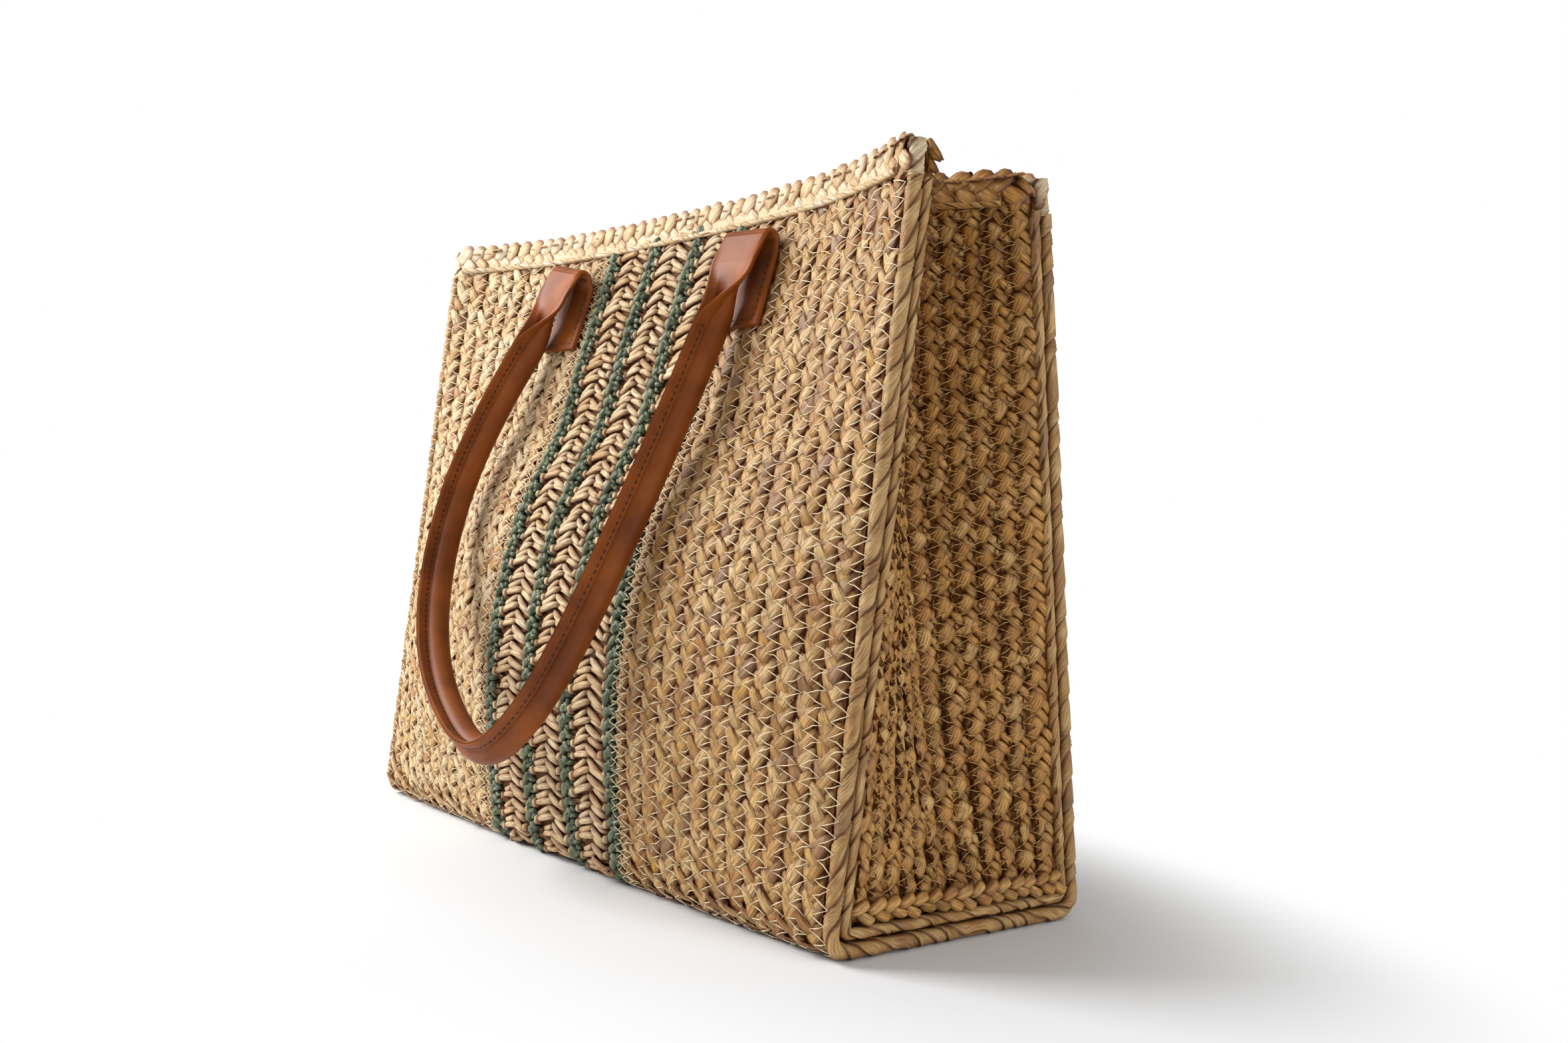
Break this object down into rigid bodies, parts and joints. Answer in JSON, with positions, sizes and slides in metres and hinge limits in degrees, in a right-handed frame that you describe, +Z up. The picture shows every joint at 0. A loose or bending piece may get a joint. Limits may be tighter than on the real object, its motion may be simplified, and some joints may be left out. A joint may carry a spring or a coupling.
{
  "type": "beach bag",
  "caption": "Plaited straw beach tote with a coloured raffia stripe, pleated side gussets, a folded plait rim and rolled leather handles that swing.",
  "frame": {"origin": "centre of the bottom, on the surface that the bag stands on", "axes": "+X along the bag's length, -Y out of its front, +Z up"},
  "size_m": [0.441, 0.2988, 0.357],
  "materials": {
    "plaited_straw": "dry split straw, matte with a faint natural sheen",
    "darker_straw": "warmer dry straw, matte",
    "paper_raffia": "twisted paper raffia, satin",
    "green_raffia": "dyed raffia, matte",
    "tan_leather": "waxed vegetable-tanned hide, semi-gloss",
    "filler_cord": "soft cotton cord, matte"
  },
  "bodies": {
    "bag": {"right_braid_field": "plaited_straw", "left_braid_field": "plaited_straw", "right_edge_row": "plaited_straw", "left_edge_row": "plaited_straw", "right_side_cord": "plaited_straw", "left_side_cord": "plaited_straw", "front_rim_binding": "plaited_straw", "back_rim_binding": "plaited_straw", "right_gusset": "darker_straw", "left_gusset": "darker_straw", "right_gusset_cord": "darker_straw", "left_gusset_cord": "darker_straw", "right_gusset_binding": "darker_straw", "left_gusset_binding": "darker_straw", "right_gusset_hem": "darker_straw", "left_gusset_hem": "darker_straw", "centre_raffia_band": "paper_raffia", "right_raffia_band": "paper_raffia", "left_raffia_band": "paper_raffia", "green_cord_1": "green_raffia", "green_cord_2": "green_raffia", "green_cord_3": "green_raffia", "green_cord_4": "green_raffia", "front_right_tab": "tan_leather", "front_right_tab_backing": "tan_leather", "front_left_tab": "tan_leather", "front_left_tab_backing": "tan_leather", "back_right_tab": "tan_leather", "back_right_tab_backing": "tan_leather", "back_left_tab": "tan_leather", "back_left_tab_backing": "tan_leather"},
    "front_handle": {"front_handle_cover": "tan_leather", "front_handle_core": "filler_cord"},
    "back_handle": {"back_handle_cover": "tan_leather", "back_handle_core": "filler_cord"}
  },
  "joints": [
    {"name": "front_handle_swing", "type": "hinge", "parent": "bag", "child": "front_handle", "pos_m": [0, -0.04736, 0.328], "axis": [-1, 0, 0], "range_deg": [0, 164]},
    {"name": "back_handle_swing", "type": "hinge", "parent": "bag", "child": "back_handle", "pos_m": [0, 0.03738, 0.328], "axis": [1, 0, 0], "range_deg": [0, 164]}
  ]
}
